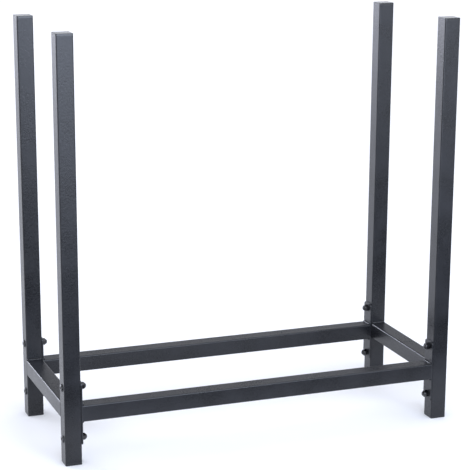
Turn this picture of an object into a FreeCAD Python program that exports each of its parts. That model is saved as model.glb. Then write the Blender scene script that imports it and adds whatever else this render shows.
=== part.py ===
"""Firewood log rack: two welded end frames of square steel tube, joined by bolted front and rear rails.

Frame: millimetres, +X to the right, +Y to the back, +Z up. The origin is on the floor, under the middle.
"""
import FreeCAD, Part
import math
import os
import Sketcher
from FreeCAD import Placement, Rotation, Vector

# Every size that can be set by itself: its name in the sheet, its value in millimetres, and what it is.
DRIVING_SIZES = [
    ("rack_width", 615.0, "over the outer faces of the left and right uprights"),
    ("rack_depth", 250.0, "over the front and rear faces of the uprights"),
    ("rack_height", 625.0, "from the floor to the top of the caps"),
    ("tube_side", 25.0, "outside of the square tube"),
    ("tube_wall", 1.2, "wall of the square tube"),
    ("tube_corner_radius", 2.0, "outer corner of the square tube"),
    ("least_bore_radius", 0.2, "smallest inner corner of the square tube, where its wall is thick"),
    ("rail_underside", 65.0, "floor to the underside of the front and rear rails"),
    ("end_rail_underside", 67.5, "floor to the underside of the end rails"),
    ("plate_thickness", 2.0, "rail end plate"),
    ("plate_length", 96.0, "rail end plate, up and down"),
    ("plate_corner_radius", 5.0, "corners of the rail end plate"),
    ("screw_spacing", 78.0, "between the two screws of one end plate"),
    ("screw_diameter", 6.0, "screw shank"),
    ("screw_tip_chamfer", 0.8, "lead-in at the end of the shank"),
    ("hole_clearance", 0.5, "added to the shank's diameter for the holes in tubes and plates"),
    ("head_diameter", 11.5, "button head"),
    ("head_height", 2.2, "button head"),
    ("head_rounding", 1.8, "dome at the edge of the button head"),
    ("socket_flats", 4.0, "hexagon socket in the head, across the flats"),
    ("socket_depth", 2.0, "hexagon socket in the head"),
    ("nut_flats", 10.0, "cap nut, across the flats"),
    ("nut_hexagon_height", 5.5, "cap nut, height of its hexagon"),
    ("nut_height", 9.0, "cap nut with its dome"),
    ("nut_shoulder", 0.2, "flat ring between the hexagon's flats and the dome"),
    ("nut_crown", 2.8, "solid metal between the end of the cap nut's hole and the top of its dome"),
    ("thread_clearance", 0.1, "added to the shank's diameter for the cap nut's hole"),
    ("nut_end_gap", 0.7, "from the end of the shank to the end of the cap nut's hole"),
    ("top_rim", 3.0, "flange of the top cap, on top of the tube"),
    ("foot_rim", 3.0, "flange of the foot plug, under the tube"),
    ("rim_rounding", 0.6, "outer edge of the flanges"),
    ("sleeve_length", 14.0, "part of a cap or plug that goes into the tube"),
    ("sleeve_wall", 1.6, "wall of that sleeve"),
    ("sleeve_gap", 0.5, "between the sleeve and the tube's inner wall"),
    ("rib_gap", 0.1, "between the sleeve's ribs and the tube's inner wall"),
    ("rib_thickness", 0.8, "one rib around the sleeve"),
    ("rib_pitch", 3.5, "from one rib to the next"),
]
RIBS_ON_SLEEVE = 3
NUT_CHAMFER_ANGLE = "30 deg"

# How the scripts' own measuring is set: a millimetre past what is cut away, how near two places have to be to
# count as one, in millimetres, and the least share of an edge's direction that counts as running along Z.
CUTTER_OVERREACH = 1
SAME_PLACE = 0.01
ALONG_Z = 0.999

SIDES = {"left": -1, "right": 1}
ENDS = {"front": -1, "rear": 1}
LEVELS = {"lower": -1, "upper": 1}

# Sizes that follow from the driving ones, as expressions on the sheet.
TUBE_BORE = "(sizes.tube_side - 2 * sizes.tube_wall)"
BORE_CORNER_RADIUS = "max(sizes.tube_corner_radius - sizes.tube_wall; sizes.least_bore_radius)"
UPRIGHT_LENGTH = "(sizes.rack_height - sizes.top_rim - sizes.foot_rim)"
UPRIGHT_ACROSS = "(sizes.rack_width / 2 - sizes.tube_side / 2)"
UPRIGHT_BACK = "(sizes.rack_depth / 2 - sizes.tube_side / 2)"
PLATE_OUTER_FACE = "(sizes.rack_width / 2 - sizes.tube_side)"
PLATE_INNER_FACE = "(sizes.rack_width / 2 - sizes.tube_side - sizes.plate_thickness)"
END_RAIL_REACH = "(sizes.rack_depth / 2 - sizes.tube_side)"
RAIL_LEVEL = "(sizes.rail_underside + sizes.tube_side / 2)"
END_RAIL_LEVEL = "(sizes.end_rail_underside + sizes.tube_side / 2)"
HOLE_DIAMETER = "(sizes.screw_diameter + sizes.hole_clearance)"
FLATS_TO_CORNERS = "cos(180 deg / 6)"
NUT_CORNERS = f"(sizes.nut_flats / {FLATS_TO_CORNERS})"
NUT_DOME_RADIUS = "(sizes.nut_flats / 2 - sizes.nut_shoulder)"
NUT_HOLE_DEPTH = "(sizes.nut_height - sizes.nut_crown)"
SCREW_LENGTH = f"(sizes.tube_side + sizes.plate_thickness + {NUT_HOLE_DEPTH} - sizes.nut_end_gap)"

doc = FreeCAD.newDocument("log_rack")
sub_parts = []


# --- The sheet, and small helpers on it -------------------------------------------------------------------

def fill_sheet():
    """One row a size: what it is, and its value in a cell whose alias is the size's name."""
    sheet = doc.addObject("Spreadsheet::Sheet", "sizes")
    for row, (alias, value, meaning) in enumerate(DRIVING_SIZES, 1):
        sheet.set(f"A{row}", alias.replace("_", " ") + ": " + meaning)
        sheet.set(f"B{row}", str(value))
        sheet.setAlias(f"B{row}", alias)
    doc.recompute()
    return sheet


sizes = fill_sheet()


def value_of(expression):
    """The number that an expression on the sheet gives now, as a first guess for a sketch."""
    return float(sizes.evalExpression(expression))


def signed(direction, expression):
    """The expression itself, or its negative on the left, at the front and below."""
    return expression if direction > 0 else f"-{expression}"


def new_body(label):
    body = doc.addObject("PartDesign::Body", label)
    body.Label = label
    sub_parts.append(body)
    return body


def place(body, across, back, up, rotation=Rotation()):
    """Turn the body, then bind where its own origin sits to three expressions."""
    body.Placement = Placement(Vector(0, 0, 0), rotation)
    body.setExpression("Placement.Base.x", across)
    body.setExpression("Placement.Base.y", back)
    body.setExpression("Placement.Base.z", up)


def inward(side):
    """Turns a piece's own +Z towards the middle of the rack."""
    return Rotation(Vector(0, 1, 0), -90 * side)


# --- Sketches ---------------------------------------------------------------------------------------------

def new_sketch(body, name, plane_role="XY_Plane", offset="0"):
    sketch = body.newObject("Sketcher::SketchObject", f"{body.Name}_{name}")
    plane = next(feature for feature in body.Origin.OriginFeatures if feature.Role == plane_role)
    sketch.AttachmentSupport = [(plane, "")]
    sketch.MapMode = "FlatFace"
    sketch.setExpression("AttachmentOffset.Base.z", offset)
    return sketch


def bind_constraint(sketch, constraint, expression):
    index = sketch.addConstraint(constraint)
    sketch.setExpression(f"Constraints[{index}]", expression)


def join_ends(sketch, lines):
    for line, following in zip(lines, lines[1:] + lines[:1]):
        sketch.addConstraint(Sketcher.Constraint("Coincident", line, 2, following, 1))


def draw_rectangle(sketch, width, height):
    """A rectangle centred on the sketch's origin."""
    right = value_of(width) / 2
    top = value_of(height) / 2
    corners = [Vector(-right, -top, 0), Vector(right, -top, 0), Vector(right, top, 0), Vector(-right, top, 0)]
    lines = []
    for start, end in zip(corners, corners[1:] + corners[:1]):
        lines.append(sketch.addGeometry(Part.LineSegment(start, end)))
    join_ends(sketch, lines)
    for bottom_or_top in lines[0::2]:
        sketch.addConstraint(Sketcher.Constraint("Horizontal", bottom_or_top))
    for left_or_right in lines[1::2]:
        sketch.addConstraint(Sketcher.Constraint("Vertical", left_or_right))
    sketch.addConstraint(Sketcher.Constraint("Symmetric", lines[0], 1, lines[2], 1, -1, 1))
    bind_constraint(sketch, Sketcher.Constraint("DistanceX", lines[0], 1, lines[0], 2, 2 * right), width)
    bind_constraint(sketch, Sketcher.Constraint("DistanceY", lines[1], 1, lines[1], 2, 2 * top), height)


def draw_circle(sketch, diameter, along="0", up="0"):
    """A circle with its centre on one of the sketch's axes."""
    centre = Vector(value_of(along), value_of(up), 0)
    radius = value_of(diameter) / 2
    circle = sketch.addGeometry(Part.Circle(centre, Vector(0, 0, 1), radius))
    if along == "0" and up == "0":
        sketch.addConstraint(Sketcher.Constraint("Coincident", circle, 3, -1, 1))
    elif along == "0":
        sketch.addConstraint(Sketcher.Constraint("PointOnObject", circle, 3, -2))
        bind_constraint(sketch, Sketcher.Constraint("DistanceY", -1, 1, circle, 3, centre.y), up)
    else:
        sketch.addConstraint(Sketcher.Constraint("PointOnObject", circle, 3, -1))
        bind_constraint(sketch, Sketcher.Constraint("DistanceX", -1, 1, circle, 3, centre.x), along)
    bind_constraint(sketch, Sketcher.Constraint("Diameter", circle, 2 * radius), diameter)


def draw_hexagon(sketch, corners_apart):
    """A regular hexagon on a construction circle, with one corner on the sketch's horizontal axis."""
    radius = value_of(corners_apart) / 2
    circle = sketch.addGeometry(Part.Circle(Vector(0, 0, 0), Vector(0, 0, 1), radius), True)
    sketch.addConstraint(Sketcher.Constraint("Coincident", circle, 3, -1, 1))
    bind_constraint(sketch, Sketcher.Constraint("Diameter", circle, 2 * radius), corners_apart)
    corners = [Rotation(Vector(0, 0, 1), 360 / 6 * turn).multVec(Vector(radius, 0, 0)) for turn in range(6)]
    sides = []
    for start, end in zip(corners, corners[1:] + corners[:1]):
        sides.append(sketch.addGeometry(Part.LineSegment(start, end)))
    join_ends(sketch, sides)
    for side in sides:
        sketch.addConstraint(Sketcher.Constraint("PointOnObject", side, 1, circle))
    for side in sides[1:]:
        sketch.addConstraint(Sketcher.Constraint("Equal", sides[0], side))
    sketch.addConstraint(Sketcher.Constraint("PointOnObject", sides[0], 1, -1))


def draw_outline(sketch, corners):
    """A closed outline whose corners are each pinned by two expressions: out from the axis, and along it."""
    points = [Vector(value_of(out), value_of(along), 0) for out, along in corners]
    lines = []
    for start, end in zip(points, points[1:] + points[:1]):
        lines.append(sketch.addGeometry(Part.LineSegment(start, end)))
    join_ends(sketch, lines)
    for line, point, (out, along) in zip(lines, points, corners):
        if out == "0":
            sketch.addConstraint(Sketcher.Constraint("PointOnObject", line, 1, -2))
        else:
            bind_constraint(sketch, Sketcher.Constraint("DistanceX", -1, 1, line, 1, point.x), out)
        if along == "0":
            sketch.addConstraint(Sketcher.Constraint("PointOnObject", line, 1, -1))
        else:
            bind_constraint(sketch, Sketcher.Constraint("DistanceY", -1, 1, line, 1, point.y), along)


def draw_bullet(sketch, radius, top):
    """Half of a round-nosed bar on the vertical axis: it stands on the sketch's origin, and a quarter circle
    of its own radius ends at the given height."""
    nose = value_of(radius)
    tip = value_of(top)
    shoulder = Vector(nose, tip - nose, 0)
    base = sketch.addGeometry(Part.LineSegment(Vector(0, 0, 0), Vector(nose, 0, 0)))
    wall = sketch.addGeometry(Part.LineSegment(Vector(nose, 0, 0), shoulder))
    whole_circle = Part.Circle(Vector(0, tip - nose, 0), Vector(0, 0, 1), nose)
    arc = sketch.addGeometry(Part.ArcOfCircle(whole_circle, 0, math.pi / 2))
    axis = sketch.addGeometry(Part.LineSegment(Vector(0, tip, 0), Vector(0, 0, 0)))
    sketch.addConstraint(Sketcher.Constraint("Coincident", base, 1, -1, 1))
    sketch.addConstraint(Sketcher.Constraint("Coincident", base, 2, wall, 1))
    sketch.addConstraint(Sketcher.Constraint("Tangent", wall, 2, arc, 1))
    sketch.addConstraint(Sketcher.Constraint("Coincident", arc, 2, axis, 1))
    sketch.addConstraint(Sketcher.Constraint("Coincident", axis, 2, base, 1))
    sketch.addConstraint(Sketcher.Constraint("Horizontal", base))
    sketch.addConstraint(Sketcher.Constraint("Vertical", wall))
    sketch.addConstraint(Sketcher.Constraint("Vertical", axis))
    sketch.addConstraint(Sketcher.Constraint("PointOnObject", arc, 3, -2))
    bind_constraint(sketch, Sketcher.Constraint("DistanceX", base, 1, base, 2, nose), radius)
    bind_constraint(sketch, Sketcher.Constraint("DistanceY", axis, 2, axis, 1, tip), top)


# --- Features ---------------------------------------------------------------------------------------------

def add_feature(body, kind, name, **settings):
    feature = body.newObject(f"PartDesign::{kind}", f"{body.Name}_{name}")
    for setting, value in settings.items():
        setattr(feature, setting, value)
    return feature


def pad(body, name, sketch, length, reverse=False):
    feature = add_feature(body, "Pad", name, Profile=sketch, Reversed=reverse)
    feature.setExpression("Length", length)
    doc.recompute()
    return feature


def cut(body, name, sketch, depth=None, reverse=False):
    """A pocket of the given depth, or both ways through everything. It has to take material away."""
    before = body.Shape.Volume
    feature = add_feature(body, "Pocket", name, Profile=sketch, Reversed=reverse)
    if depth is None:
        feature.Type = "ThroughAll"
        feature.SideType = "Symmetric"
    else:
        feature.setExpression("Length", depth)
    doc.recompute()
    if feature.Shape.Volume >= before:
        raise RuntimeError(f"{feature.Name} cuts nothing")
    return feature


def turn_away(body, name, sketch):
    """A groove all the way around the piece's own Z axis. It has to take material away."""
    before = body.Shape.Volume
    feature = add_feature(body, "Groove", name, Profile=sketch, ReferenceAxis=(sketch, ["V_Axis"]), Angle=360)
    doc.recompute()
    if feature.Shape.Volume >= before:
        raise RuntimeError(f"{feature.Name} cuts nothing")
    return feature


def corner_edges(shape, width, height):
    """Names of the edges along Z at the corners of a centred rectangle, given as two expressions."""
    half_width = value_of(width) / 2
    half_height = value_of(height) / 2
    names = []
    for number, edge in enumerate(shape.Edges, 1):
        if not isinstance(edge.Curve, Part.Line):
            continue
        if abs(edge.tangentAt(edge.FirstParameter).z) < ALONG_Z:
            continue
        middle = edge.CenterOfMass
        off_width = abs(abs(middle.x) - half_width)
        off_height = abs(abs(middle.y) - half_height)
        if max(off_width, off_height) < SAME_PLACE:
            names.append(f"Edge{number}")
    return names


def edges_at_height(shape, height):
    """Names of the edges that lie flat at one height."""
    names = []
    for number, edge in enumerate(shape.Edges, 1):
        box = edge.BoundBox
        if abs(box.ZMin - height) < SAME_PLACE and abs(box.ZMax - height) < SAME_PLACE:
            names.append(f"Edge{number}")
    return names


def round_edges(body, name, base, edge_names, radius):
    feature = add_feature(body, "Fillet", name, Base=(base, edge_names))
    feature.setExpression("Radius", radius)
    doc.recompute()
    return feature


# --- Pieces of square tube --------------------------------------------------------------------------------

def square_tube(label, length):
    """A tube along its own +Z from its origin, with rounded corners outside and inside."""
    body = new_body(label)
    outline = new_sketch(body, "outline")
    draw_rectangle(outline, "sizes.tube_side", "sizes.tube_side")
    blank = pad(body, "blank", outline, length)
    outer_corners = corner_edges(blank.Shape, "sizes.tube_side", "sizes.tube_side")
    round_edges(body, "outer_corners", blank, outer_corners, "sizes.tube_corner_radius")

    bore_outline = new_sketch(body, "bore_outline")
    draw_rectangle(bore_outline, TUBE_BORE, TUBE_BORE)
    bore = cut(body, "bore", bore_outline)
    inner_corners = corner_edges(bore.Shape, TUBE_BORE, TUBE_BORE)
    round_edges(body, "bore_corners", bore, inner_corners, BORE_CORNER_RADIUS)
    return body


def upright(end_name, side_name):
    """A post with two screw holes through its left and right walls."""
    body = square_tube(f"upright_{end_name}_{side_name}", UPRIGHT_LENGTH)
    holes = new_sketch(body, "holes", "YZ_Plane")
    for level in LEVELS.values():
        above_tube_end = f"{RAIL_LEVEL} + {level} * sizes.screw_spacing / 2 - sizes.foot_rim"
        draw_circle(holes, HOLE_DIAMETER, up=above_tube_end)
    cut(body, "screw_holes", holes)
    across = signed(SIDES[side_name], UPRIGHT_ACROSS)
    back = signed(ENDS[end_name], UPRIGHT_BACK)
    place(body, across, back, "sizes.foot_rim")


def end_rail(side_name):
    """The rail of one end frame, from front upright to rear upright."""
    body = square_tube(f"end_rail_{side_name}", f"2 * {END_RAIL_REACH}")
    across = signed(SIDES[side_name], UPRIGHT_ACROSS)
    to_the_back = Rotation(Vector(1, 0, 0), -90)
    place(body, across, f"-{END_RAIL_REACH}", END_RAIL_LEVEL, to_the_back)


def long_rail(end_name):
    """The front or rear rail, from end plate to end plate."""
    body = square_tube(f"{end_name}_rail", f"2 * {PLATE_INNER_FACE}")
    back = signed(ENDS[end_name], UPRIGHT_BACK)
    place(body, f"-{PLATE_INNER_FACE}", back, RAIL_LEVEL, inward(SIDES["left"]))


# --- Plates and fasteners ---------------------------------------------------------------------------------

def end_plate(end_name, side_name):
    """A flat strip as wide as the tube, against the inner face of an upright, with two screw holes."""
    body = new_body(f"end_plate_{end_name}_{side_name}")
    outline = new_sketch(body, "outline")
    draw_rectangle(outline, "sizes.plate_length", "sizes.tube_side")
    for level in LEVELS.values():
        draw_circle(outline, HOLE_DIAMETER, along=f"{level} * sizes.screw_spacing / 2")
    strip = pad(body, "strip", outline, "sizes.plate_thickness")
    corners = corner_edges(strip.Shape, "sizes.plate_length", "sizes.tube_side")
    round_edges(body, "corners", strip, corners, "sizes.plate_corner_radius")
    across = signed(SIDES[side_name], PLATE_OUTER_FACE)
    back = signed(ENDS[end_name], UPRIGHT_BACK)
    place(body, across, back, RAIL_LEVEL, inward(SIDES[side_name]))


def screw_level(level_name):
    return f"{RAIL_LEVEL} + {LEVELS[level_name]} * sizes.screw_spacing / 2"


def screw(end_name, side_name, level_name):
    """A button-head socket screw: its shank runs along +Z from under the head, which is below its origin."""
    body = new_body(f"screw_{end_name}_{side_name}_{level_name}")
    head_outline = new_sketch(body, "head_outline")
    draw_circle(head_outline, "sizes.head_diameter")
    head = pad(body, "head", head_outline, "sizes.head_height", reverse=True)
    head_top = -value_of("sizes.head_height")
    round_edges(body, "dome", head, edges_at_height(head.Shape, head_top), "sizes.head_rounding")

    shank_outline = new_sketch(body, "shank_outline")
    draw_circle(shank_outline, "sizes.screw_diameter")
    shank = pad(body, "shank", shank_outline, SCREW_LENGTH)
    shank_end = value_of(SCREW_LENGTH)
    lead_in = add_feature(body, "Chamfer", "lead_in", Base=(shank, edges_at_height(shank.Shape, shank_end)))
    lead_in.setExpression("Size", "sizes.screw_tip_chamfer")
    doc.recompute()

    socket_outline = new_sketch(body, "socket_outline", offset="-sizes.head_height")
    draw_hexagon(socket_outline, f"sizes.socket_flats / {FLATS_TO_CORNERS}")
    cut(body, "socket", socket_outline, "sizes.socket_depth", reverse=True)
    across = signed(SIDES[side_name], "(sizes.rack_width / 2)")
    back = signed(ENDS[end_name], UPRIGHT_BACK)
    place(body, across, back, screw_level(level_name), inward(SIDES[side_name]))


def cap_nut(end_name, side_name, level_name):
    """A domed hexagon nut that stands on the end plate, with its blind hole along +Z from its origin."""
    body = new_body(f"cap_nut_{end_name}_{side_name}_{level_name}")
    hexagon_outline = new_sketch(body, "hexagon_outline")
    draw_hexagon(hexagon_outline, NUT_CORNERS)
    pad(body, "hexagon", hexagon_outline, "sizes.nut_hexagon_height")

    # A turned chamfer takes the corners off both ends of the hexagon.
    chamfer_reach = f"({NUT_CORNERS} / 2 + {CUTTER_OVERREACH})"
    chamfer_drop = f"(({chamfer_reach} - sizes.nut_flats / 2) * tan({NUT_CHAMFER_ANGLE}))"
    top_corner = [
        ("sizes.nut_flats / 2", "sizes.nut_hexagon_height"),
        (chamfer_reach, "sizes.nut_hexagon_height"),
        (chamfer_reach, f"sizes.nut_hexagon_height - {chamfer_drop}"),
    ]
    base_corner = [("sizes.nut_flats / 2", "0"), (chamfer_reach, "0"), (chamfer_reach, chamfer_drop)]
    for name, corners in (("top_chamfer", top_corner), ("base_chamfer", base_corner)):
        section = new_sketch(body, f"{name}_section", "XZ_Plane")
        draw_outline(section, corners)
        turn_away(body, name, section)

    dome_section = new_sketch(body, "dome_section", "XZ_Plane")
    draw_bullet(dome_section, NUT_DOME_RADIUS, "sizes.nut_height")
    add_feature(body, "Revolution", "dome", Profile=dome_section, ReferenceAxis=(dome_section, ["V_Axis"]))
    doc.recompute()

    hole_outline = new_sketch(body, "hole_outline")
    draw_circle(hole_outline, "sizes.screw_diameter + sizes.thread_clearance")
    cut(body, "hole", hole_outline, NUT_HOLE_DEPTH, reverse=True)
    across = signed(SIDES[side_name], PLATE_INNER_FACE)
    back = signed(ENDS[end_name], UPRIGHT_BACK)
    place(body, across, back, screw_level(level_name), inward(SIDES[side_name]))


# --- Plastic caps and plugs -------------------------------------------------------------------------------

def tube_insert(label, rim):
    """A flange along +Z on the tube's end, and a ribbed hollow sleeve along -Z inside the tube."""
    body = new_body(label)
    flange_outline = new_sketch(body, "flange_outline")
    draw_rectangle(flange_outline, "sizes.tube_side", "sizes.tube_side")
    flange = pad(body, "flange", flange_outline, rim)
    corners = corner_edges(flange.Shape, "sizes.tube_side", "sizes.tube_side")
    rounded = round_edges(body, "flange_corners", flange, corners, "sizes.tube_corner_radius")
    rim_edges = edges_at_height(rounded.Shape, value_of(rim))
    round_edges(body, "rim", rounded, rim_edges, "sizes.rim_rounding")

    sleeve_outer = f"({TUBE_BORE} - 2 * sizes.sleeve_gap)"
    sleeve_inner = f"({sleeve_outer} - 2 * sizes.sleeve_wall)"
    sleeve_outline = new_sketch(body, "sleeve_outline")
    draw_rectangle(sleeve_outline, sleeve_outer, sleeve_outer)
    draw_rectangle(sleeve_outline, sleeve_inner, sleeve_inner)
    pad(body, "sleeve", sleeve_outline, "sizes.sleeve_length", reverse=True)

    # The ribs' corners are cut to clear the rounded corners of the tube's bore.
    rib_outer = f"({TUBE_BORE} - 2 * sizes.rib_gap)"
    rib_outline = new_sketch(body, "rib_outline", offset="-sizes.rib_pitch")
    draw_rectangle(rib_outline, rib_outer, f"{rib_outer} - 2 * {BORE_CORNER_RADIUS}")
    draw_rectangle(rib_outline, sleeve_inner, sleeve_inner)
    rib = pad(body, "rib", rib_outline, "sizes.rib_thickness", reverse=True)
    cross_rib_outline = new_sketch(body, "cross_rib_outline", offset="-sizes.rib_pitch")
    draw_rectangle(cross_rib_outline, f"{rib_outer} - 2 * {BORE_CORNER_RADIUS}", rib_outer)
    draw_rectangle(cross_rib_outline, sleeve_inner, sleeve_inner)
    cross_rib = pad(body, "cross_rib", cross_rib_outline, "sizes.rib_thickness", reverse=True)
    ribs = add_feature(body, "LinearPattern", "ribs", Originals=[rib, cross_rib], Occurrences=RIBS_ON_SLEEVE)
    ribs.Direction = (rib_outline, ["N_Axis"])
    ribs.Reversed = True
    ribs.setExpression("Length", f"{RIBS_ON_SLEEVE - 1} * sizes.rib_pitch")
    body.Tip = ribs
    doc.recompute()
    return body


def top_cap(end_name, side_name):
    body = tube_insert(f"top_cap_{end_name}_{side_name}", "sizes.top_rim")
    across = signed(SIDES[side_name], UPRIGHT_ACROSS)
    back = signed(ENDS[end_name], UPRIGHT_BACK)
    place(body, across, back, "sizes.rack_height - sizes.top_rim")


def foot_plug(end_name, side_name):
    body = tube_insert(f"foot_plug_{end_name}_{side_name}", "sizes.foot_rim")
    across = signed(SIDES[side_name], UPRIGHT_ACROSS)
    back = signed(ENDS[end_name], UPRIGHT_BACK)
    flange_down = Rotation(Vector(1, 0, 0), 180)
    place(body, across, back, "sizes.foot_rim", flange_down)


# --- The rack ---------------------------------------------------------------------------------------------

def build_rack():
    for side_name in SIDES:
        end_rail(side_name)
    for end_name in ENDS:
        long_rail(end_name)
        for side_name in SIDES:
            upright(end_name, side_name)
            top_cap(end_name, side_name)
            foot_plug(end_name, side_name)
            end_plate(end_name, side_name)
            for level_name in LEVELS:
                screw(end_name, side_name, level_name)
                cap_nut(end_name, side_name, level_name)
    doc.recompute()


def check_document():
    """Every feature has to be computed, and every piece has to be one valid closed solid."""
    for feature in doc.Objects:
        if {"Invalid", "Error"} & set(feature.State):
            raise RuntimeError(f"{feature.Name} failed: {feature.State}")
    for body in sub_parts:
        shape = body.Shape
        if shape.isNull() or not shape.isValid() or len(shape.Solids) != 1:
            raise RuntimeError(f"{body.Label} is not one valid solid")


def export_sub_parts():
    os.makedirs("parts", exist_ok=True)
    for body in sub_parts:
        body.Shape.exportStep(f"parts/{body.Label}.step")


build_rack()
check_document()
export_sub_parts()
print(f"{len(sub_parts)} pieces written")
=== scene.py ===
"""Firewood log rack: the looks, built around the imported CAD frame.

Metres, +X to the right, +Y to the back, +Z up, with the floor at z = 0. The CAD nodes keep their shapes and
get their finishes here; the weld beads at the tube joints are modelled here.
"""
import math

import bpy
from mathutils import Matrix, Vector


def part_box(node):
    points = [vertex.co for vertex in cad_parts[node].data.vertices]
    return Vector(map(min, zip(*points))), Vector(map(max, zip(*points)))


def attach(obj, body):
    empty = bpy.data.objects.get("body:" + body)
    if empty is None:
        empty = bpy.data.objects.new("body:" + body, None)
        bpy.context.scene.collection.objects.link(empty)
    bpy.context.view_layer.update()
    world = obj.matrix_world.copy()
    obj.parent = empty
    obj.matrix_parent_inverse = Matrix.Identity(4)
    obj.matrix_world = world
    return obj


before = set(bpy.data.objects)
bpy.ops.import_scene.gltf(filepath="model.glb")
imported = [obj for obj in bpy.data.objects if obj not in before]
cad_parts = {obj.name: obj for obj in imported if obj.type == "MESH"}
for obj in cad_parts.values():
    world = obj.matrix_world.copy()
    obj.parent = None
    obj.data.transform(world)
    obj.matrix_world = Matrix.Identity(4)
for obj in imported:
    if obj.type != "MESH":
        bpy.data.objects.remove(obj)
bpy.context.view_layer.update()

MM = 0.001

STEEL_SLOT = "powder_coated_steel"
FASTENER_SLOT = "blackened_fasteners"
PLASTIC_SLOT = "plastic_inserts"

SIDES = {"left": -1, "right": 1}
ENDS = {"front": -1, "rear": 1}
EDGES = {"lower": -1, "upper": 1}


# --- Colours and nodes ------------------------------------------------------------------------------------

def linear(hex_colour):
    """An sRGB hex colour as the linear RGBA that a shader takes."""
    channels = [int(hex_colour[start:start + 2], 16) / 255 for start in (1, 3, 5)]
    return [c / 12.92 if c <= 0.04045 else ((c + 0.055) / 1.055) ** 2.4 for c in channels] + [1.0]


def add_node(tree, kind, settings=None, links=None):
    """One shader node. Settings are its attributes or its input sockets; links are input sockets and what
    feeds them."""
    made = tree.nodes.new("ShaderNode" + kind)
    for name, value in (settings or {}).items():
        if isinstance(name, int) or name in made.inputs:
            made.inputs[name].default_value = value
        else:
            setattr(made, name, value)
    for name, source in (links or {}).items():
        tree.links.new(source, made.inputs[name])
    return made


def new_material(name, **shader_values):
    """A material with one Principled shader, whose values are set on its own sockets. Gives the material,
    its tree and the shader."""
    material = bpy.data.materials.new(name)
    material.use_nodes = True
    tree = material.node_tree
    tree.nodes.clear()
    sockets = {key.replace("_", " "): value for key, value in shader_values.items()}
    shader = add_node(tree, "BsdfPrincipled", sockets)
    output = add_node(tree, "OutputMaterial")
    tree.links.new(shader.outputs["BSDF"], output.inputs["Surface"])
    return material, tree, shader


# --- Finishes ---------------------------------------------------------------------------------------------

# Cosines of the angle between a true face and its rounded surface: where edge wear starts, and where it is
# full.
WEAR_STARTS = 0.999
WEAR_FULL = 0.93


def edge_mask(tree, width):
    """How near each place is to an edge of its piece, from 0 in the open to 1 at the edge. It compares the
    true face with the same surface rounded to this width."""
    softened = add_node(tree, "Bevel", {"Radius": width})
    true_face = add_node(tree, "NewGeometry").outputs["Normal"]
    agreement = add_node(tree, "VectorMath", {"operation": "DOT_PRODUCT"},
                         {0: softened.outputs["Normal"], 1: true_face})
    nearness = add_node(tree, "MapRange", {"From Min": WEAR_STARTS, "From Max": WEAR_FULL},
                        {"Value": agreement.outputs["Value"]})
    return nearness.outputs["Result"]


def satin_black_powder_coat():
    """Polyester powder sprayed on dry and baked: it melts into a satin skin that is never quite flat."""
    material, tree, shader = new_material("satin_black_powder_coat", IOR=1.43, Metallic=0.0)
    place = add_node(tree, "TexCoord").outputs["Object"]
    edges = edge_mask(tree, 1.2 * MM)

    # The film is a little thicker in some places than in others, which shifts its black and its gloss.
    drift = add_node(tree, "TexNoise", {"Scale": 1 / (45 * MM), "Detail": 3.0}, {"Vector": place})
    colour = add_node(tree, "ValToRGB", links={"Fac": drift.outputs["Fac"]})
    colour.color_ramp.elements[0].position = 0.3
    colour.color_ramp.elements[0].color = linear("#121316")
    colour.color_ramp.elements[1].position = 0.7
    colour.color_ramp.elements[1].color = linear("#1B1C20")

    # Handling and stacking have rubbed the edges a little greyer, in patches.
    rubbing = add_node(tree, "TexNoise", {"Scale": 1 / (9 * MM), "Detail": 3.0}, {"Vector": place})
    rubbed = add_node(tree, "Math", {"operation": "MULTIPLY"}, {0: edges, 1: rubbing.outputs["Fac"]})
    worn = add_node(tree, "Mix", {"data_type": "RGBA", 7: linear("#3A3B3E")},
                    {0: rubbed.outputs["Value"], 6: colour.outputs["Color"]})
    tree.links.new(worn.outputs[2], shader.inputs["Base Color"])

    # Specks of half-melted powder break the gloss. Real ones are 0.1 mm across, too fine to show, so these
    # are drawn at 1.6 mm.
    specks = add_node(tree, "TexNoise", {"Scale": 1 / (1.6 * MM), "Detail": 2.0}, {"Vector": place})
    gloss = add_node(tree, "Mix", {"data_type": "FLOAT", 0: 0.6},
                     {2: drift.outputs["Fac"], 3: specks.outputs["Fac"]})
    dullness = {"From Min": 0.35, "From Max": 0.65, "To Min": 0.24, "To Max": 0.38}
    roughness = add_node(tree, "MapRange", dullness, {"Value": gloss.outputs["Result"]})
    tree.links.new(roughness.outputs["Result"], shader.inputs["Roughness"])

    # Orange peel: low swells about 3 mm apart, which make reflected edges waver, with the specks' grain on
    # top.
    peel = add_node(tree, "TexNoise", {"Scale": 1 / (3 * MM), "Detail": 1.5}, {"Vector": place})
    swells = add_node(tree, "Bump", {"Strength": 0.9, "Distance": 0.14 * MM},
                      {"Height": peel.outputs["Fac"]})
    grain = add_node(tree, "Bump", {"Strength": 0.4, "Distance": 0.03 * MM},
                     {"Height": specks.outputs["Fac"], "Normal": swells.outputs["Normal"]})
    tree.links.new(grain.outputs["Normal"], shader.inputs["Normal"])
    return material


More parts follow.
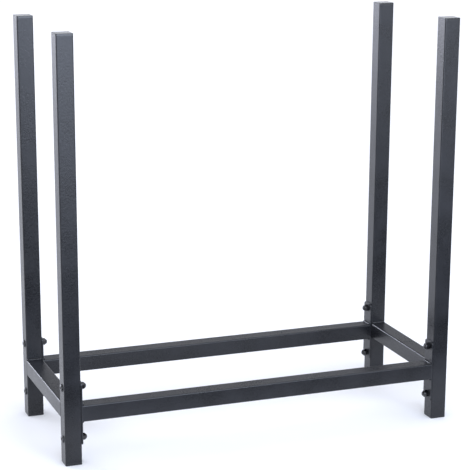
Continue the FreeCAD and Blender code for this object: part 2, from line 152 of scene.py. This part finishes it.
def gloss_black_dipped_steel():
    """Screws and cap nuts pressed from steel, then dipped black: a thin glossy skin, nearly a mirror on the
    domes, rubbed to grey at the edges where a spanner has gripped."""
    material, tree, shader = new_material("gloss_black_dipped_steel", IOR=1.6, Metallic=0.0)
    place = add_node(tree, "TexCoord").outputs["Object"]
    edges = edge_mask(tree, 0.5 * MM)

    # The dip has dried a little greyer and duller in some places, a few millimetres apart.
    stain = add_node(tree, "TexNoise", {"Scale": 1 / (4 * MM), "Detail": 3.0}, {"Vector": place})
    colour = add_node(tree, "ValToRGB", links={"Fac": stain.outputs["Fac"]})
    colour.color_ramp.elements[0].position = 0.3
    colour.color_ramp.elements[0].color = linear("#08080A")
    colour.color_ramp.elements[1].position = 0.7
    colour.color_ramp.elements[1].color = linear("#101013")
    rubbed = add_node(tree, "Math", {"operation": "MULTIPLY"}, {0: edges, 1: stain.outputs["Fac"]})
    worn = add_node(tree, "Mix", {"data_type": "RGBA", 7: linear("#4A4B4E")},
                    {0: rubbed.outputs["Value"], 6: colour.outputs["Color"]})
    tree.links.new(worn.outputs[2], shader.inputs["Base Color"])
    roughness = add_node(tree, "MapRange", {"To Min": 0.12, "To Max": 0.26},
                         {"Value": stain.outputs["Fac"]})
    tree.links.new(roughness.outputs["Result"], shader.inputs["Roughness"])

    # Small dimples that the dip leaves, about a millimetre apart, which make the highlights uneven.
    dimples = add_node(tree, "TexNoise", {"Scale": 1 / (1.1 * MM), "Detail": 1.0}, {"Vector": place})
    bump = add_node(tree, "Bump", {"Strength": 0.5, "Distance": 0.03 * MM},
                    {"Height": dimples.outputs["Fac"]})
    tree.links.new(bump.outputs["Normal"], shader.inputs["Normal"])
    return material


def moulded_black_polyethylene():
    """Caps and plugs moulded in a plain polished tool: a smooth waxy black that turns pale at a low
    angle."""
    material, tree, shader = new_material("moulded_black_polyethylene", IOR=1.51, Metallic=0.0)
    place = add_node(tree, "TexCoord").outputs["Object"]

    # The plastic has cooled unevenly as it flowed, in patches about 12 mm across.
    flow = add_node(tree, "TexNoise", {"Scale": 1 / (12 * MM), "Detail": 2.0}, {"Vector": place})
    colour = add_node(tree, "ValToRGB", links={"Fac": flow.outputs["Fac"]})
    colour.color_ramp.elements[0].color = linear("#121315")
    colour.color_ramp.elements[1].color = linear("#1B1C1F")
    tree.links.new(colour.outputs["Color"], shader.inputs["Base Color"])

    # The tool's faint scratches and stains, about 0.6 mm apart, vary the gloss.
    grain = add_node(tree, "TexNoise", {"Scale": 1 / (0.6 * MM), "Detail": 2.0}, {"Vector": place})
    roughness = add_node(tree, "MapRange", {"To Min": 0.16, "To Max": 0.28},
                         {"Value": grain.outputs["Fac"]})
    tree.links.new(roughness.outputs["Result"], shader.inputs["Roughness"])
    bump = add_node(tree, "Bump", {"Strength": 0.3, "Distance": 0.01 * MM},
                    {"Height": grain.outputs["Fac"]})
    tree.links.new(bump.outputs["Normal"], shader.inputs["Normal"])
    return material


def matt_white_floor():
    """A studio floor painted with a roller: nearly even, with a faint mottle, six patches a metre."""
    material, tree, shader = new_material("matt_white_floor", Roughness=0.9, IOR=1.45)
    place = add_node(tree, "TexCoord").outputs["Object"]
    mottle = add_node(tree, "TexNoise", {"Scale": 6.0, "Detail": 2.0}, {"Vector": place})
    colour = add_node(tree, "ValToRGB", links={"Fac": mottle.outputs["Fac"]})
    colour.color_ramp.elements[0].color = linear("#EFEFEF")
    colour.color_ramp.elements[1].color = linear("#F3F3F3")
    tree.links.new(colour.outputs["Color"], shader.inputs["Base Color"])
    return material


def finish_node(name, material):
    """Gives a carried-over CAD node its finish."""
    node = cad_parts[name]
    node.data.materials.clear()
    node.data.materials.append(material)


def finish_cad_nodes():
    """Every carried-over node gets the finish that goes with the first words of its name."""
    finishes = {
        ("upright", "end_rail", "front_rail", "rear_rail", "end_plate"): (powder_coat, STEEL_SLOT),
        ("screw", "cap_nut"): (dipped_steel, FASTENER_SLOT),
        ("top_cap", "foot_plug"): (polyethylene, PLASTIC_SLOT),
    }
    for families, (material, slot) in finishes.items():
        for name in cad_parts:
            if name.startswith(families):
                finish_node(name, material)


# --- Weld beads -------------------------------------------------------------------------------------------

BEAD_RADIUS = 2.1 * MM
BEAD_SIDES = 20
# How far the bead's middle stands off each of the two faces that it joins.
BEAD_STANDOFF = 0.5 * MM
# How far the bead stops short of each side of the tube.
END_MARGIN = 1.2 * MM

# One ripple, and how far its rings lean. Each step is an advance, in ripples, and the size of the ring
# there, in bead radii.
RIPPLE_PITCH = 1.25 * MM
RIPPLE_LEAN = math.radians(24)
RIPPLE_STEPS = ((0.35, 1.05), (0.3, 1.0), (0.35, 0.95))
START_SIZE = 0.55
START_STEP = (0.5, 0.9)
CRATER_STEP = (0.5, 0.5)

# Faces that meet at less than this angle are shaded as one surface.
SMOOTH_UP_TO = math.radians(50)


def lay_bead(length):
    """A fillet weld bead along +X, centred on the origin: one ring is extruded step by step, and swells and
    shrinks once a ripple."""
    bpy.ops.object.select_all(action="DESELECT")
    start = -length / 2
    bpy.ops.mesh.primitive_circle_add(
        vertices=BEAD_SIDES, radius=BEAD_RADIUS * START_SIZE, fill_type="NGON",
        location=(start, 0, 0), rotation=(0, math.pi / 2, 0))
    bead = bpy.context.object
    bpy.ops.object.transform_apply(location=True, rotation=True, scale=True)
    bpy.ops.object.mode_set(mode="EDIT")
    bpy.ops.mesh.select_all(action="SELECT")
    at = start
    bpy.ops.transform.rotate(value=RIPPLE_LEAN, orient_axis="Y", center_override=(at, 0, 0))
    ripples = round(length / RIPPLE_PITCH - START_STEP[0] - CRATER_STEP[0])
    size = START_SIZE
    for step, target in (START_STEP, *RIPPLE_STEPS * ripples, CRATER_STEP):
        advance = step * RIPPLE_PITCH
        bpy.ops.mesh.extrude_region_move(TRANSFORM_OT_translate={"value": (advance, 0, 0)})
        at += advance
        ratio = target / size
        bpy.ops.transform.resize(value=(ratio, ratio, ratio), center_override=(at, 0, 0))
        size = target
    bpy.ops.mesh.select_all(action="SELECT")
    bpy.ops.mesh.normals_make_consistent(inside=False)
    bpy.ops.object.mode_set(mode="OBJECT")
    bpy.ops.object.shade_smooth_by_angle(angle=SMOOTH_UP_TO)
    return bead


def copy_bead(pattern, name, turn, centre):
    """A copy of the bead with its own mesh, turned and put in its corner."""
    bead = pattern.copy()
    bead.data = pattern.data.copy()
    bead.name = name
    bead.data.name = name
    bpy.context.scene.collection.objects.link(bead)
    bead.data.transform(Matrix.Translation(centre) @ turn)
    bead.data.materials.clear()
    bead.data.materials.append(powder_coat)
    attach(bead, "root")


def weld_end_rails(pattern):
    """Four beads an end frame: over and under the end rail, where it meets the front and rear uprights."""
    for side_name in SIDES:
        low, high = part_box(f"end_rail_{side_name}")
        across = (low.x + high.x) / 2
        for end_name, end in ENDS.items():
            back = (low.y if end < 0 else high.y) - end * BEAD_STANDOFF
            for edge_name, edge in EDGES.items():
                up = (low.z if edge < 0 else high.z) + edge * BEAD_STANDOFF
                name = f"weld_end_rail_{side_name}_{end_name}_{edge_name}"
                copy_bead(pattern, name, Matrix.Identity(4), Vector((across, back, up)))


def weld_long_rails(pattern):
    """Over and under the front and rear rails, where they meet their end plates."""
    along_y = Matrix.Rotation(math.pi / 2, 4, "Z")
    for end_name in ENDS:
        low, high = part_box(f"{end_name}_rail")
        back = (low.y + high.y) / 2
        for side_name, side in SIDES.items():
            across = (low.x if side < 0 else high.x) - side * BEAD_STANDOFF
            for edge_name, edge in EDGES.items():
                up = (low.z if edge < 0 else high.z) + edge * BEAD_STANDOFF
                name = f"weld_{end_name}_rail_{side_name}_{edge_name}"
                copy_bead(pattern, name, along_y, Vector((across, back, up)))


def weld_joints():
    """Lays one bead as a pattern and copies it into every corner. All the tubes are of one width."""
    low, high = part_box("end_rail_left")
    pattern = lay_bead(high.x - low.x - 2 * END_MARGIN)
    weld_end_rails(pattern)
    weld_long_rails(pattern)
    bpy.data.objects.remove(pattern)


# --- Studio -----------------------------------------------------------------------------------------------

FLOOR_SIDE = 40.0

# How bright the surround is at each height above the horizon, in degrees: bright walls, a dimmer band
# where they meet the ceiling, and a bright ceiling.
SURROUND_GLOW = ((0, 1.6), (8, 1.6), (13, 0.35), (28, 0.35), (38, 1.55))
SURROUND_TINT = "#F3F6FF"


def lay_floor():
    """A square floor that reaches almost to the horizon."""
    bpy.ops.object.select_all(action="DESELECT")
    bpy.ops.mesh.primitive_plane_add(size=FLOOR_SIDE, location=(0, 0, 0))
    floor = bpy.context.object
    floor.name = "studio_floor"
    floor.data.materials.append(matt_white_floor())


def light_surround():
    """White walls all round and a white ceiling, with no lamp of their own."""
    world = bpy.data.worlds.new("studio_surround")
    world.use_nodes = True
    tree = world.node_tree
    direction = add_node(tree, "TexCoord").outputs["Generated"]
    height = add_node(tree, "SeparateXYZ", links={"Vector": direction}).outputs["Z"]
    glow = add_node(tree, "ValToRGB", links={"Fac": height})
    brightest = max(level for _, level in SURROUND_GLOW)
    stops = glow.color_ramp.elements
    while len(stops) < len(SURROUND_GLOW):
        stops.new(0.5)
    for stop, (degrees, level) in zip(stops, SURROUND_GLOW):
        stop.position = math.sin(math.radians(degrees))
        stop.color = [level / brightest * channel for channel in linear(SURROUND_TINT)[:3]] + [1.0]
    background = tree.nodes["Background"]
    background.inputs["Strength"].default_value = brightest
    tree.links.new(glow.outputs["Color"], background.inputs["Color"])
    bpy.context.scene.world = world


def hang_softbox(name, place, aim, width, height, glow, tint):
    """A soft rectangular light at one place, turned to face another. Its glow is how bright its cloth is, on
    the surround's scale. It shows in the gloss but not to the camera."""
    data = bpy.data.lights.new(name, "AREA")
    data.shape = "RECTANGLE"
    data.size = width
    data.size_y = height
    data.energy = glow * math.pi * width * height
    data.color = linear(tint)[:3]
    softbox = bpy.data.objects.new(name, data)
    softbox.location = place
    softbox.rotation_euler = (Vector(aim) - Vector(place)).to_track_quat("-Z", "Y").to_euler()
    softbox.visible_camera = False
    bpy.context.scene.collection.objects.link(softbox)


def hang_lights():
    """A board in front for the faces towards the camera, and a wide softbox far behind to the left, which
    the left faces mirror at a low angle."""
    hang_softbox("front_board", place=(0.25, -2.6, 0.95), aim=(0.1, 0, 0.6),
                 width=2.2, height=1.5, glow=7.4, tint="#DCE8FF")
    hang_softbox("back_left_softbox", place=(-5.9, 8.0, 1.4), aim=(0, 0, 0.6),
                 width=4.0, height=2.8, glow=20.0, tint="#E8ECFF")


CARD_PLACE = (0.3, -0.95, 0.01)
CARD_SIZE = (3.2, 1.3, 1)


def lay_shade_card():
    """A dark grey card on the floor in front of the rack. It shows only in gloss, as a deeper black low down
    on the front faces."""
    bpy.ops.object.select_all(action="DESELECT")
    bpy.ops.mesh.primitive_plane_add(size=1, location=CARD_PLACE)
    card = bpy.context.object
    card.name = "shade_card"
    bpy.ops.transform.resize(value=CARD_SIZE)
    bpy.ops.object.transform_apply(location=True, rotation=True, scale=True)
    material, _, shader = new_material("dark_grey_card", Roughness=0.95)
    shader.inputs["Base Color"].default_value = linear("#38393C")
    card.data.materials.append(material)
    card.visible_camera = False
    card.visible_diffuse = False
    card.visible_shadow = False


# The camera stands to the left of the middle, above the rack, and looks down on it through a long lens. The
# lens and its sensor are in millimetres, and the shifts are shares of the picture's side.
CAMERA_PLACE = (-0.8769, -2.3261, 0.9015)
CAMERA_YAW = math.radians(20.836)
CAMERA_PITCH = math.radians(15.165)
CAMERA_ROLL = math.radians(0.289)
LENS = 127.84
SENSOR_SIDE = 36.0
SHIFT_ACROSS = -0.0106
SHIFT_UP = 0.0851


def set_camera():
    """A roll, then a tilt down from level, then a turn to the right, put in its place."""
    data = bpy.data.cameras.new("studio_camera")
    data.sensor_width = SENSOR_SIDE
    data.lens = LENS
    data.shift_x = SHIFT_ACROSS
    data.shift_y = SHIFT_UP
    camera = bpy.data.objects.new("studio_camera", data)
    heading = Matrix.Rotation(-CAMERA_YAW, 4, "Z")
    tilt = Matrix.Rotation(math.pi / 2 - CAMERA_PITCH, 4, "X")
    roll = Matrix.Rotation(CAMERA_ROLL, 4, "Z")
    camera.matrix_world = Matrix.Translation(CAMERA_PLACE) @ heading @ tilt @ roll
    bpy.context.scene.collection.objects.link(camera)
    bpy.context.scene.camera = camera


def set_exposure():
    """Plain sRGB output, so that white surroundings stay white."""
    bpy.context.scene.view_settings.view_transform = "Standard"
    bpy.context.scene.view_settings.look = "None"


powder_coat = satin_black_powder_coat()
dipped_steel = gloss_black_dipped_steel()
polyethylene = moulded_black_polyethylene()

finish_cad_nodes()
weld_joints()
lay_floor()
light_surround()
hang_lights()
lay_shade_card()
set_camera()
set_exposure()
